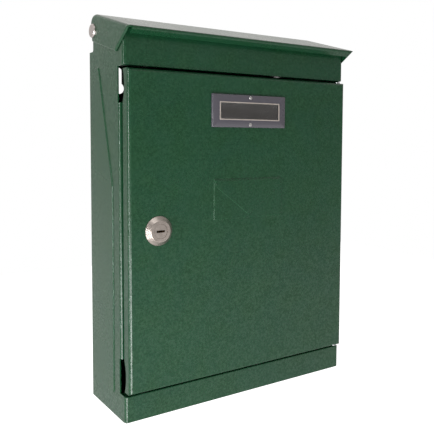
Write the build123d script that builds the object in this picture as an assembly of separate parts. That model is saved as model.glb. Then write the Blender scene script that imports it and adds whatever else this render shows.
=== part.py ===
from build123d import *
import math
import os

# Wall mounted mailbox: folded sheet-steel body, hinged lid and side-hung lockable door.
# Units are mm. X runs to the right, Y towards the wall and Z up. The wall face is at Y = 0.
# Heights are measured from the underside of the body, and the export moves every piece so
# that the origin is the centre of the four wall screw holes.

# ---- Body ----
BODY_WIDTH = 215.0
BODY_DEPTH = 64.0              # wall face to the upper and lower front panels
BACK_HEIGHT = 279.0            # rear top corner of the sides
SHEET = 1.0                    # steel thickness, used for every folded sheet
CORNER_BEND = 2.4              # outside radius of the front panels' bends
CORNER_RETURN = 3.0            # length of a front panel's side return, to its butt weld
FOLD_EDGE = 0.8                # rounding of the front panels' horizontal folds
LAP_LENGTH = 12.0              # weld laps and stiffening flanges
RETURN_SLIT = 0.9              # slit between a return's end and the side sheet

# ---- Door opening ----
LOWER_PANEL_HEIGHT = 20.0
UPPER_PANEL_DROP = 15.7        # from the rear top corner down to the upper panel's lower edge
FRAME_STEP = 7.6               # the sides' door frame stands back from the front panels
FRAME_FLANGE = 11.5            # width of the frame flange, measured from outside
FRAME_BEND = 1.8
NOTCH_HEIGHT = 26.5            # corner notches in the frame flange
LOCK_NOTCH_SETBACK = 2.5       # notch edge behind the frame, on the lock side
HINGE_NOTCH_DEPTH = 4.3        # notch edge behind the front panels, on the hinge side

# ---- Side embossing ----
EMBOSS_HEIGHT = 0.7
EMBOSS_REAR = 9.3
EMBOSS_FRONT = 44.2
EMBOSS_BASE = 16.0
EMBOSS_SHOULDER = 104.0        # below the rear top corner, where the front border starts to slant
EMBOSS_TOP_GAP = 13.0
EMBOSS_TOP_FRONT = 19.0
EMBOSS_CORNER = 3.1

# ---- Door ----
DOOR_SIDE_GAP = 1.5            # the door is narrower than the body by this much on each side
DOOR_END_GAP = 2.2             # above and below the door
DOOR_PROUD = 4.5               # the door face stands proud of the front panels
DOOR_PAN_DEPTH = 9.3
DOOR_BEND = 2.6
DOOR_ARC_LENGTH = 25.0         # shallow finger arcs in the free flange
DOOR_ARC_DEPTH = 2.6

# ---- Door hinge ----
HINGE_INSET = 4.0              # pin axis from the door's right edge
HINGE_DEPTH = 5.0              # pin axis behind the door face
PIN_RADIUS = 1.25
PIN_HEAD_RADIUS = 2.3
PIN_HEAD_THICKNESS = 1.0
PIN_CLEARANCE = 0.05
LUG_THICKNESS = 1.5
LUG_HALF_WIDTH = 2.5
LUG_FOOT_LENGTH = 12.0
LUG_FOOT_HEIGHT = 9.0
THRUST_WASHER = 1.0
THRUST_PLAY = 0.05
THRUST_RADIUS = 3.0
LUG_SLOT = 5.0                 # slot in the door flange that clears a lug
LUG_SLOT_SWING = 0.9           # extra slot in front of the lug, for a door open past square

# ---- Lid ----
PIVOT_RISE = 15.6              # lid pivot above the rear top corner
PIVOT_OFFSET = 11.0            # lid pivot from the wall
ROOF_SLOPE = 16.2              # degrees
CREST_RISE = 12.1              # roof crest above the pivot
CREST_OFFSET = 16.0            # roof crest from the wall
LID_OVERHANG = 14.3            # roof front beyond the front panels
LIP_DROP = 4.1
LIP_LEAN = 6.8                 # the lip is folded back under the roof
LIP_INSET = 2.4                # slit between an end of the lip and a flap
LID_BEND = 1.6
LID_SIDE_GAP = 0.5             # between a side and a flap
FLAP_DEPTH = 21.5              # roof to the flap's lower edge, which runs parallel to it
FLAP_REAR_TOP = 4.5
FLAP_REAR_BASE = 7.9
FLAP_TIP = 52.6                # flap's lower front corner, from the wall
FLAP_BEND = 1.8                # rounding between the roof and the flaps
CURL_RADIUS = 9.0
CURL_CORNER_RADIUS = 7.2
CURL_END = 3.4                 # end of the rear curl above the pivot
CREST_TILT = 0.3               # rise of the roof behind its crest
REST_GAP = 0.4                 # roof to the upper panel's top return
SIDE_TOP_GAP = 2.5             # roof to the top edge of a side
EAR_REAR = 7.5                 # rear edge of a side's ear, from the wall

# ---- Lid rivets ----
DOME_SHARE = 0.8               # rounding of rivet and stud heads, as a share of their height
TAIL_SHARE = 0.6               # the same for the upset tails
RIVET_RADIUS = 2.0
RIVET_HEAD_RADIUS = 5.4
RIVET_HEAD_HEIGHT = 1.6
RIVET_TAIL_RADIUS = 3.2
RIVET_TAIL_HEIGHT = 1.4
WASHER_RADIUS = 4.2
WASHER_PLAY = 0.05
BACKING_WASHER_RADIUS = 3.4
BACKING_WASHER_THICKNESS = 0.8

# ---- Wall fixings ----
SCREW_SPACING_X = 120.0
SCREW_MARGIN = 39.5            # back panel's height beyond the screws, shared by both ends
SCREW_CENTRE_RISE = 0.5        # screws' centre above the back panel's middle
SCREW_HOLE_RADIUS = 2.75
KEYHOLE_INSET = 24.8           # keyhole from the body's side
KEYHOLE_DROP = 31.3            # keyhole's lower end below the rear top corner
KEYHOLE_LENGTH = 21.2
KEYHOLE_SLOT_WIDTH = 5.0
KEYHOLE_HEAD_RADIUS = 4.5
SHIELD_SETBACK = 8.5           # rain shield behind the lid, from the wall
SHIELD_TOP = 5.4               # above the pivot
SHIELD_SIDE_GAP = 7.5

# ---- Lock ----
LOCK_INSET = 24.0              # lock axis from the door's left edge
LOCK_RISE = 0.85               # lock axis above the door's middle
BEZEL_BASE_RADIUS = 11.0
BEZEL_FACE_RADIUS = 8.0
BEZEL_HEIGHT = 3.6
BEZEL_EDGE = 0.6
BARREL_RADIUS = 8.0
BARREL_FLAT = 14.0
BARREL_CLEARANCE = 0.1
PLUG_RADIUS = 5.5
PLUG_CLEARANCE = 0.05
PLUG_RECESS = 0.15
KEYWAY_WIDTH = 6.8
KEYWAY_HEIGHT = 1.7
KEYWAY_DEPTH = 12.0
WAFER_COUNT = 4
WAFER_THICKNESS = 0.8
WAFER_PITCH = 2.1
WAFER_HALF_HEIGHT = 2.3
WAFER_FIT = 0.05
LOCK_NUT_FLATS = 20.0
LOCK_NUT_THICKNESS = 4.0
LOCK_NUT_CHAMFER = 0.9
STAR_WASHER_THICKNESS = 0.8
STAR_WASHER_RADIUS = 10.8
STAR_TEETH = 12
STAR_GAP_RADIUS = 1.0          # notch between two teeth
CAM_THICKNESS = 1.5
CAM_GAP = 0.3                  # behind the frame flange
CAM_REACH = 19.5
CAM_WIDTH = 12.0
CAM_SQUARE = 6.0
CAM_SCREW_RADIUS = 1.5
CAM_SCREW_HEAD_RADIUS = 3.4
CAM_SCREW_HEAD = 1.8
CAM_SCREW_LENGTH = 6.0
CAM_SCREW_RECESS = 0.7         # width of the cross recess

# ---- Name plate ----
PLATE_WIDTH = 72.0
PLATE_HEIGHT = 26.0
PLATE_THICKNESS = 2.2
PLATE_BEVEL = 0.9
PLATE_TOP_GAP = 15.2           # below the door's top edge
WINDOW_WIDTH = 59.0
WINDOW_HEIGHT = 14.2
WINDOW_RIM = 0.9
WINDOW_RIM_HEIGHT = 0.35
CARD_WIDTH = 60.0
CARD_HEIGHT = 15.2
CARD_THICKNESS = 0.5
CARD_POCKET_GAP = 0.15
STUD_OFFSET = 10.7
STUD_RADIUS = 0.9
STUD_HEAD_RADIUS = 1.4
STUD_HEAD_HEIGHT = 0.6
STUD_CLEARANCE = 0.05
CLIP_RADIUS = 3.2
CLIP_THICKNESS = 0.5

# ---- Pressed envelope ----
ENVELOPE_WIDTH = 67.4
ENVELOPE_HEIGHT = 32.5
ENVELOPE_TOP_GAP = 81.6        # below the door's top edge
ENVELOPE_RELIEF = 0.7
ENVELOPE_FLAP_RELIEF = 0.45
ENVELOPE_FLAP_INSET = 1.2      # flap behind the envelope's edge
ENVELOPE_FLAP_SHOULDER = 4.5
ENVELOPE_FLAP_TIP = 2.5

# ---- Derived places ----
HALF_WIDTH = BODY_WIDTH / 2
FRONT_Y = -BODY_DEPTH
FRAME_Y = FRONT_Y + FRAME_STEP
UPPER_PANEL_BASE = BACK_HEIGHT - UPPER_PANEL_DROP
DOOR_BASE = LOWER_PANEL_HEIGHT + DOOR_END_GAP
DOOR_TOP = UPPER_PANEL_BASE - DOOR_END_GAP
DOOR_HALF_WIDTH = HALF_WIDTH - DOOR_SIDE_GAP
DOOR_Y = FRONT_Y - DOOR_PROUD
DOOR_REAR_Y = DOOR_Y + DOOR_PAN_DEPTH
PIVOT_Y = -PIVOT_OFFSET
PIVOT_Z = BACK_HEIGHT + PIVOT_RISE
CREST_Z = PIVOT_Z + CREST_RISE
SLOPE = math.tan(math.radians(ROOF_SLOPE))
LID_FRONT_Y = FRONT_Y - LID_OVERHANG
LID_FRONT_Z = CREST_Z + (LID_FRONT_Y + CREST_OFFSET) * SLOPE
ROOF_VERTICAL = SHEET / math.cos(math.radians(ROOF_SLOPE))
FLAP_INNER = HALF_WIDTH + LID_SIDE_GAP
FLAP_OUTER = FLAP_INNER + SHEET
HINGE_X = DOOR_HALF_WIDTH - HINGE_INSET
HINGE_Y = DOOR_Y + HINGE_DEPTH
LOCK_X = -DOOR_HALF_WIDTH + LOCK_INSET
LOCK_Z = (DOOR_BASE + DOOR_TOP) / 2 + LOCK_RISE
CAM_FRONT_Y = FRAME_Y + SHEET + CAM_GAP
PLATE_CENTRE_Z = DOOR_TOP - PLATE_TOP_GAP - PLATE_HEIGHT / 2
ENVELOPE_CENTRE_Z = DOOR_TOP - ENVELOPE_TOP_GAP - ENVELOPE_HEIGHT / 2
KEYHOLE_X = HALF_WIDTH - KEYHOLE_INSET
KEYHOLE_BASE_Z = BACK_HEIGHT - KEYHOLE_DROP
SCREW_SPACING_Z = BACK_HEIGHT - 2 * SCREW_MARGIN
SCREW_CENTRE_Z = BACK_HEIGHT / 2 + SCREW_CENTRE_RISE


def roof_underside(y):
    """Height of the roof's underside at a distance y from the wall face."""
    return CREST_Z + (y + CREST_OFFSET) * SLOPE - ROOF_VERTICAL


def block(x0, x1, y0, y1, z0, z1):
    """Box between two opposite corners."""
    centre = Pos((x0 + x1) / 2, (y0 + y1) / 2, (z0 + z1) / 2)
    return centre * Box(abs(x1 - x0), abs(y1 - y0), abs(z1 - z0))


def side_prism(points, x0, x1):
    """Prism with a side-view outline of (y, z) points, from x0 to x1."""
    face = make_face(Polyline(*[(x0, y, z) for y, z in points], close=True))
    return extrude(face, amount=x1 - x0, dir=(1, 0, 0))


def bent_sheet(path, radii, x0, x1, side):
    """Sheet of stock thickness along a bent side-view path of (y, z) points."""
    outline = offset(FilletPolyline(*path, radius=radii), amount=SHEET, side=side)
    face = Plane.YZ * make_face(outline)
    return Pos(x0, 0, 0) * extrude(face, amount=x1 - x0, dir=(1, 0, 0))


def rod_y(radius, y0, y1, x, z):
    """Round bar along Y."""
    return Pos(x, (y0 + y1) / 2, z) * Rot(90, 0, 0) * Cylinder(radius, abs(y1 - y0))


def rod_x(radius, x0, x1, y, z):
    """Round bar along X."""
    return Pos((x0 + x1) / 2, y, z) * Rot(0, 90, 0) * Cylinder(radius, abs(x1 - x0))


def rod_z(radius, z0, z1, x, y):
    """Round bar along Z."""
    return Pos(x, y, (z0 + z1) / 2) * Cylinder(radius, abs(z1 - z0))


def edges_at(solid, axis, **place):
    """Edges along an axis whose centre has the given coordinates."""
    def there(edge):
        centre = edge.center()
        return all(abs(getattr(centre, key.upper()) - value) < 0.01 for key, value in place.items())
    return solid.edges().filter_by(axis).filter_by(there)


def mirrored(solid):
    """Copy of a solid on the other side of the body's middle."""
    return mirror(solid, about=Plane.YZ)


# ---- Body ----
def frame_flange(low, high):
    """Bend and door frame flange along a side's front edge."""
    path = [(-HALF_WIDTH, FRAME_Y + 2 * FRAME_BEND), (-HALF_WIDTH, FRAME_Y),
            (-HALF_WIDTH + FRAME_FLANGE, FRAME_Y)]
    section = make_face(offset(FilletPolyline(*path, radius=FRAME_BEND), amount=SHEET, side=Side.LEFT))
    return Pos(0, 0, low) * extrude(section, amount=high - low, dir=(0, 0, 1))


def side_panel(notch_y):
    """Left side: stepped front edge, ear for the lid rivet, frame flange, embossed field."""
    joint_y = FRONT_Y + CORNER_RETURN
    ear_front = PIVOT_Y - RIVET_HEAD_RADIUS
    ear_top = roof_underside(ear_front) - SIDE_TOP_GAP
    outline = [
        (0, 0), (joint_y, 0), (joint_y, LOWER_PANEL_HEIGHT), (notch_y, LOWER_PANEL_HEIGHT),
        (notch_y, UPPER_PANEL_BASE), (joint_y, UPPER_PANEL_BASE),
        (joint_y, roof_underside(joint_y) - SIDE_TOP_GAP),
        (ear_front, ear_top), (-EAR_REAR, ear_top), (-EAR_REAR, BACK_HEIGHT + SHEET),
        (-EAR_REAR + SHEET, BACK_HEIGHT), (0, BACK_HEIGHT),
    ]
    plate = side_prism(outline, -HALF_WIDTH, -HALF_WIDTH + SHEET)
    plate = fillet(edges_at(plate, Axis.X, y=-EAR_REAR, z=ear_top), EAR_REAR / 2)
    low = LOWER_PANEL_HEIGHT + NOTCH_HEIGHT
    high = UPPER_PANEL_BASE - NOTCH_HEIGHT
    plate -= block(-HALF_WIDTH, 0, FRONT_Y, FRAME_Y + FRAME_BEND, low, high)
    plate += frame_flange(low, high)
    field = Polyline(
        (EMBOSS_REAR, EMBOSS_BASE), (EMBOSS_FRONT, EMBOSS_BASE),
        (EMBOSS_FRONT, BACK_HEIGHT - EMBOSS_SHOULDER),
        (EMBOSS_TOP_FRONT, BACK_HEIGHT - EMBOSS_TOP_GAP),
        (EMBOSS_REAR, BACK_HEIGHT - EMBOSS_TOP_GAP), close=True)
    field = make_face(field)
    field = fillet(field.vertices(), EMBOSS_CORNER)
    outward = Plane(origin=(-HALF_WIDTH, 0, 0), x_dir=(0, -1, 0), z_dir=(-1, 0, 0))
    raised = extrude(outward * field, amount=EMBOSS_HEIGHT, taper=45)
    plate = plate + raised - Pos(SHEET, 0, 0) * raised
    return plate - rod_x(RIVET_RADIUS, -FLAP_OUTER, 0, PIVOT_Y, PIVOT_Z)


def front_corner_panel(base, top):
    """Front strip between two heights, with bent side returns and weld laps behind the sides."""
    joint_y = FRONT_Y + CORNER_RETURN
    inner = HALF_WIDTH - SHEET
    strip = block(-HALF_WIDTH, HALF_WIDTH, FRONT_Y, joint_y, base, top)
    hollow = block(-inner, inner, FRONT_Y + SHEET, joint_y, base, top)
    for side in (-1, 1):
        strip = fillet(edges_at(strip, Axis.Z, x=side * HALF_WIDTH, y=FRONT_Y), CORNER_BEND)
        hollow = fillet(edges_at(hollow, Axis.Z, x=side * inner, y=FRONT_Y + SHEET), CORNER_BEND - SHEET)
    for z in (base, top):
        strip = fillet(edges_at(strip, Axis.X, y=FRONT_Y, z=z), FOLD_EDGE)
    strip -= hollow
    for side in (-1, 1):
        strip += block(side * inner, side * (inner - SHEET), FRONT_Y + SHEET / 2, joint_y + LAP_LENGTH,
                       base + 2 * SHEET, top - 2 * SHEET)
    return strip


def upper_front_panel():
    """Fascia above the door, with a top return under the roof and a lower return over the door."""
    top = roof_underside(FRONT_Y) - REST_GAP
    panel = front_corner_panel(UPPER_PANEL_BASE, top)
    reach = HALF_WIDTH - SHEET - RETURN_SLIT
    for z0, z1 in ((UPPER_PANEL_BASE, UPPER_PANEL_BASE + SHEET), (top - SHEET, top)):
        panel += block(-reach, reach, FRONT_Y + FOLD_EDGE, FRONT_Y + FRAME_STEP - SHEET, z0, z1)
    return panel


def bottom_tray():
    """Bottom and lower front panel folded from one sheet, with the door's sill on top."""
    panel = front_corner_panel(0, LOWER_PANEL_HEIGHT)
    inner = HALF_WIDTH - SHEET
    reach = inner - RETURN_SLIT
    sill = LOWER_PANEL_HEIGHT
    panel += block(-reach, reach, FRONT_Y + FOLD_EDGE, FRAME_Y + SHEET, sill - SHEET, sill)
    panel += block(-inner, inner, FRONT_Y + FOLD_EDGE, -SHEET, 0, SHEET)
    panel += block(-reach + SHEET, reach - SHEET, -2 * SHEET, -SHEET, 0, LAP_LENGTH)
    return panel


def keyhole(x):
    """Cutter for one hanging keyhole: a round head with a slot above it."""
    head_z = KEYHOLE_BASE_Z + KEYHOLE_HEAD_RADIUS
    tip_z = KEYHOLE_BASE_Z + KEYHOLE_LENGTH - KEYHOLE_SLOT_WIDTH / 2
    half = KEYHOLE_SLOT_WIDTH / 2
    cutter = rod_y(KEYHOLE_HEAD_RADIUS, -2 * SHEET, SHEET, x, head_z)
    cutter += rod_y(half, -2 * SHEET, SHEET, x, tip_z)
    return cutter + block(x - half, x + half, -2 * SHEET, SHEET, head_z, tip_z)


def back_panel():
    """Back sheet with side flanges, wall holes and a rain shield that rises behind the lid."""
    inner = HALF_WIDTH - SHEET
    panel = block(-inner, inner, -SHEET, 0, 0, BACK_HEIGHT)
    for side in (-1, 1):
        panel += block(side * inner, side * (inner - SHEET), -LAP_LENGTH, 0,
                       LOWER_PANEL_HEIGHT, BACK_HEIGHT - SHEET)
    knee = BACK_HEIGHT + SHIELD_SETBACK
    path = [(0, BACK_HEIGHT - LAP_LENGTH), (0, BACK_HEIGHT), (-SHIELD_SETBACK, knee),
            (-SHIELD_SETBACK, PIVOT_Z + SHIELD_TOP)]
    reach = inner - SHIELD_SIDE_GAP
    panel += bent_sheet(path, [SHEET, SHEET], -reach, reach, Side.LEFT)
    for x in (-KEYHOLE_X, KEYHOLE_X):
        panel -= keyhole(x)
    for x in (-SCREW_SPACING_X / 2, SCREW_SPACING_X / 2):
        for dz in (-SCREW_SPACING_Z / 2, SCREW_SPACING_Z / 2):
            panel -= rod_y(SCREW_HOLE_RADIUS, -2 * SHEET, SHEET, x, SCREW_CENTRE_Z + dz)
    return panel


def rounded_outline(corners):
    """Face from (point, radius) corners; a radius of zero leaves the corner sharp."""
    face = make_face(Polyline(*[point for point, radius in corners], close=True))
    for point, radius in corners:
        if radius > 0:
            face = fillet(face.vertices().sort_by_distance((*point, 0))[0], radius)
    return face


def lid():
    """Sloping roof with a folded-back front lip, a rear curl and two side flaps."""
    front = (LID_FRONT_Y, LID_FRONT_Z)
    flap_front = (LID_FRONT_Y + LID_BEND, LID_FRONT_Z + LID_BEND * SLOPE)
    crest = (-CREST_OFFSET, CREST_Z)
    rear = (-FLAP_REAR_TOP, CREST_Z + CREST_TILT)
    flap_tip = (-FLAP_TIP, roof_underside(-FLAP_TIP) - FLAP_DEPTH)
    flap_rear = (-FLAP_REAR_BASE, roof_underside(-FLAP_REAR_BASE) - FLAP_DEPTH)
    rear_lean = (FLAP_REAR_BASE - FLAP_REAR_TOP) / (rear[1] - flap_rear[1])
    curl_z = PIVOT_Z + CURL_END
    curl_end = (-FLAP_REAR_TOP - rear_lean * (rear[1] - curl_z), curl_z)
    lip_end = (LID_FRONT_Y + LIP_LEAN, LID_FRONT_Z - LIP_DROP)
    sheet_path = [lip_end, front, crest, rear, curl_end]
    roof_radii = [LID_BEND, CURL_RADIUS, CURL_CORNER_RADIUS]
    roof = bent_sheet(sheet_path, roof_radii, -FLAP_INNER, FLAP_INNER, Side.RIGHT)
    lip_half = FLAP_INNER - LIP_INSET
    lip = bent_sheet(sheet_path, roof_radii, -lip_half, lip_half, Side.RIGHT)
    lip &= block(-lip_half, lip_half, LID_FRONT_Y - SHEET, lip_end[0] + SHEET, 0, CREST_Z)
    outline = rounded_outline([
        (flap_front, 0), (crest, CURL_RADIUS), (rear, CURL_CORNER_RADIUS),
        (flap_rear, 2 * SHEET), (flap_tip, SHEET),
    ])
    shell = Pos(-FLAP_OUTER, 0, 0) * extrude(Plane.YZ * outline, amount=2 * FLAP_OUTER, dir=(1, 0, 0))

    def on_roof_edge(edge):
        centre = edge.center()
        line = roof_underside(centre.Y) - FLAP_DEPTH / 2
        return abs(abs(centre.X) - FLAP_OUTER) < 0.01 and centre.Z > max(line, PIVOT_Z)
    shell = fillet(shell.edges().filter_by(on_roof_edge), FLAP_BEND)
    hollow = Pos(-FLAP_INNER, 0, 0) * extrude(Plane.YZ * outline, amount=2 * FLAP_INNER, dir=(1, 0, 0))
    shell = shell - (hollow - roof) + lip
    bore_end = FLAP_OUTER + SHEET
    return shell - rod_x(RIVET_RADIUS + PIN_CLEARANCE, -bore_end, bore_end, PIVOT_Y, PIVOT_Z)


def lid_rivets():
    """Dome-headed rivets that carry the lid, one on each side."""
    outer = FLAP_OUTER + WASHER_PLAY
    tail = HALF_WIDTH - SHEET - BACKING_WASHER_THICKNESS
    head = rod_x(RIVET_HEAD_RADIUS, outer, outer + RIVET_HEAD_HEIGHT, PIVOT_Y, PIVOT_Z)
    rim = head.edges().filter_by(GeomType.CIRCLE).sort_by(Axis.X)[-1]
    head = fillet(rim, RIVET_HEAD_HEIGHT * DOME_SHARE)
    rivet = head + rod_x(RIVET_RADIUS, tail, outer, PIVOT_Y, PIVOT_Z)
    upset = rod_x(RIVET_TAIL_RADIUS, tail - RIVET_TAIL_HEIGHT, tail, PIVOT_Y, PIVOT_Z)
    upset_rim = upset.edges().filter_by(GeomType.CIRCLE).sort_by(Axis.X)[0]
    upset = fillet(upset_rim, RIVET_TAIL_HEIGHT * TAIL_SHARE)
    rivet += upset
    return [rivet, mirrored(rivet)]


def ring_x(outer_radius, inner_radius, x0, x1):
    """Washer on the lid's pivot axis."""
    ring = rod_x(outer_radius, x0, x1, PIVOT_Y, PIVOT_Z)
    return ring - rod_x(inner_radius, x0 - SHEET, x1 + SHEET, PIVOT_Y, PIVOT_Z)


def lid_spacers():
    """Nylon washers between the sides and the lid's flaps."""
    ring = ring_x(WASHER_RADIUS, RIVET_RADIUS, HALF_WIDTH, FLAP_INNER - WASHER_PLAY)
    return [ring, mirrored(ring)]


def backing_washers():
    """Steel washers under the rivets' upset tails."""
    inner = HALF_WIDTH - SHEET
    ring = ring_x(BACKING_WASHER_RADIUS, RIVET_RADIUS, inner - BACKING_WASHER_THICKNESS, inner)
    return [ring, mirrored(ring)]


# ---- Door ----
def lock_opening(radius, flat, y0, y1):
    """Double-D bar along Y on the lock's axis."""
    round_bar = rod_y(radius, y0, y1, LOCK_X, LOCK_Z)
    return round_bar & block(LOCK_X - flat / 2, LOCK_X + flat / 2, y0, y1, LOCK_Z - radius, LOCK_Z + radius)


def envelope():
    """Raised envelope outline with its flap, on the door's face."""
    face_plane = Plane(origin=(0, DOOR_Y, ENVELOPE_CENTRE_Z), x_dir=(1, 0, 0), z_dir=(0, -1, 0))
    body = fillet(Rectangle(ENVELOPE_WIDTH, ENVELOPE_HEIGHT).vertices(), SHEET)
    pad = extrude(face_plane * body, amount=ENVELOPE_RELIEF, taper=45)
    half = ENVELOPE_WIDTH / 2 - ENVELOPE_FLAP_INSET
    top = ENVELOPE_HEIGHT / 2 - ENVELOPE_FLAP_INSET
    shoulder = top - ENVELOPE_FLAP_SHOULDER
    tip = -ENVELOPE_HEIGHT / 2 + ENVELOPE_FLAP_TIP
    flap = Polyline((-half, top), (-half, shoulder), (0, tip), (half, shoulder), (half, top), close=True)
    flap_plane = face_plane.offset(ENVELOPE_RELIEF)
    raised = extrude(flap_plane * make_face(flap), amount=ENVELOPE_FLAP_RELIEF, taper=45)
    return pad, raised


def door_panel():
    """Door pan with bent edges, hinge bores, lug slots, finger arcs and the pressed envelope."""
    half = DOOR_HALF_WIDTH
    pan = block(-half, half, DOOR_Y, DOOR_REAR_Y, DOOR_BASE, DOOR_TOP)
    pan = fillet(pan.faces().sort_by(Axis.Y)[0].edges(), DOOR_BEND)
    hollow = block(-half + SHEET, half - SHEET, DOOR_Y + SHEET, DOOR_REAR_Y,
                   DOOR_BASE + SHEET, DOOR_TOP - SHEET)
    pan -= fillet(hollow.faces().sort_by(Axis.Y)[0].edges(), DOOR_BEND - SHEET)
    pad, flap = envelope()
    pan = pan + pad + flap - Pos(0, SHEET, 0) * pad - Pos(0, SHEET, 0) * flap
    arc_radius = (DOOR_ARC_LENGTH ** 2 / 4 + DOOR_ARC_DEPTH ** 2) / (2 * DOOR_ARC_DEPTH)
    arc_y = DOOR_REAR_Y + arc_radius - DOOR_ARC_DEPTH
    for z in (DOOR_BASE + DOOR_ARC_LENGTH / 2 - SHEET, DOOR_TOP - DOOR_ARC_LENGTH / 2 + SHEET):
        pan -= rod_x(arc_radius, -half - SHEET, -half + 2 * SHEET, arc_y, z)
    slot_front = HINGE_Y - LUG_HALF_WIDTH - LUG_SLOT_SWING
    for z0 in (DOOR_BASE + SHEET, DOOR_TOP - SHEET - LUG_SLOT):
        pan -= block(half - 2 * SHEET, half + SHEET, slot_front, DOOR_REAR_Y + SHEET, z0, z0 + LUG_SLOT)
    pan -= rod_z(PIN_RADIUS + PIN_CLEARANCE, DOOR_BASE - SHEET, DOOR_TOP + SHEET, HINGE_X, HINGE_Y)
    pan -= lock_opening(BARREL_RADIUS + BARREL_CLEARANCE, BARREL_FLAT + 2 * BARREL_CLEARANCE,
                        DOOR_Y - SHEET, DOOR_Y + 2 * SHEET)
    for dz in (-STUD_OFFSET, STUD_OFFSET):
        pan -= rod_y(STUD_RADIUS + STUD_CLEARANCE, DOOR_Y - SHEET, DOOR_Y + 2 * SHEET, 0, PLATE_CENTRE_Z + dz)
    return pan


# ---- Door hinge ----
def hinge_stack():
    """Upper lug, pin and thrust washer; the lower set is their mirror image."""
    flange_z = DOOR_TOP - SHEET
    lug_top = flange_z - THRUST_WASHER - 2 * THRUST_PLAY
    lug_low = lug_top - LUG_THICKNESS
    inner = HALF_WIDTH - SHEET
    foot_front = FRAME_Y + SHEET + LUG_HALF_WIDTH / 2
    arm = block(HINGE_X - LUG_HALF_WIDTH, HINGE_X + LUG_HALF_WIDTH, HINGE_Y, foot_front + LUG_FOOT_LENGTH,
                lug_low, lug_top)
    arm += rod_z(LUG_HALF_WIDTH, lug_low, lug_top, HINGE_X, HINGE_Y)
    arm += block(HINGE_X - LUG_HALF_WIDTH, inner, foot_front, foot_front + LUG_FOOT_LENGTH, lug_low, lug_top)
    foot = block(inner - LUG_THICKNESS, inner, foot_front, foot_front + LUG_FOOT_LENGTH,
                 lug_low - LUG_FOOT_HEIGHT, lug_top)
    lug = arm + foot
    lug = fillet(edges_at(lug, Axis.Y, x=inner, z=lug_top), LUG_THICKNESS)
    lug -= rod_z(PIN_RADIUS, lug_low - SHEET, lug_top + SHEET, HINGE_X, HINGE_Y)
    head_z = DOOR_TOP + THRUST_PLAY
    pin = rod_z(PIN_RADIUS, lug_low - PIN_HEAD_THICKNESS, head_z + PIN_HEAD_THICKNESS, HINGE_X, HINGE_Y)
    pin += rod_z(PIN_HEAD_RADIUS, head_z, head_z + PIN_HEAD_THICKNESS, HINGE_X, HINGE_Y)
    pin += rod_z(PIN_HEAD_RADIUS, lug_low - PIN_HEAD_THICKNESS, lug_low, HINGE_X, HINGE_Y)
    washer = rod_z(THRUST_RADIUS, lug_top, lug_top + THRUST_WASHER, HINGE_X, HINGE_Y)
    washer -= rod_z(PIN_RADIUS, lug_top - SHEET, lug_top + 2 * SHEET, HINGE_X, HINGE_Y)
    return lug, pin, washer


def upper_and_lower(solid):
    """A hinge piece and its mirror image at the other end of the door."""
    return [solid, mirror(solid, about=Plane.XY.offset((DOOR_BASE + DOOR_TOP) / 2))]


# ---- Lock ----
def lock_housing():
    """Flared bezel with a threaded barrel that has two flats."""
    face_y = DOOR_Y - BEZEL_HEIGHT
    profile = [
        (0, DOOR_Y), (BEZEL_BASE_RADIUS, DOOR_Y), (BEZEL_BASE_RADIUS, DOOR_Y - BEZEL_EDGE),
        (BEZEL_FACE_RADIUS, face_y), (0, face_y),
    ]
    face = make_face(Polyline(*[(r, y, 0) for r, y in profile], close=True))
    bezel = Pos(LOCK_X, 0, LOCK_Z) * revolve(face, Axis.Y)
    rims = bezel.edges().filter_by(GeomType.CIRCLE).sort_by(Axis.Y)
    bezel = fillet(rims[0], BEZEL_EDGE)
    barrel_end = CAM_FRONT_Y - SHEET
    housing = bezel + lock_opening(BARREL_RADIUS, BARREL_FLAT, DOOR_Y, barrel_end)
    return housing - rod_y(PLUG_RADIUS + PLUG_CLEARANCE, face_y - SHEET, barrel_end + SHEET, LOCK_X, LOCK_Z)


def wafer_places():
    """Y positions of the wafers' front faces."""
    first = DOOR_Y - BEZEL_HEIGHT + PLUG_RECESS + WAFER_PITCH
    return [first + step * WAFER_PITCH for step in range(WAFER_COUNT)]


def lock_plug():
    """Turning plug with the keyway, the wafer slots and the cam's square."""
    face_y = DOOR_Y - BEZEL_HEIGHT + PLUG_RECESS
    square = CAM_SQUARE / 2
    plug = rod_y(PLUG_RADIUS, face_y, CAM_FRONT_Y, LOCK_X, LOCK_Z)
    rim = plug.edges().filter_by(GeomType.CIRCLE).sort_by(Axis.Y)[0]
    plug = chamfer(rim, PLUG_RECESS)
    plug += block(LOCK_X - square, LOCK_X + square, CAM_FRONT_Y, CAM_FRONT_Y + CAM_THICKNESS,
                  LOCK_Z - square, LOCK_Z + square)
    plug -= block(LOCK_X - KEYWAY_WIDTH / 2, LOCK_X + KEYWAY_WIDTH / 2, face_y - SHEET, face_y + KEYWAY_DEPTH,
                  LOCK_Z - KEYWAY_HEIGHT / 2, LOCK_Z + KEYWAY_HEIGHT / 2)
    slot = WAFER_HALF_HEIGHT + WAFER_FIT
    for y in wafer_places():
        plug -= block(LOCK_X - PLUG_RADIUS, LOCK_X + PLUG_RADIUS, y - WAFER_FIT,
                      y + WAFER_THICKNESS + WAFER_FIT, LOCK_Z - slot, LOCK_Z + slot)
    screw_end = CAM_FRONT_Y + CAM_THICKNESS - CAM_SCREW_LENGTH
    return plug - rod_y(CAM_SCREW_RADIUS, screw_end, CAM_FRONT_Y + 2 * CAM_THICKNESS, LOCK_X, LOCK_Z)


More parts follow.
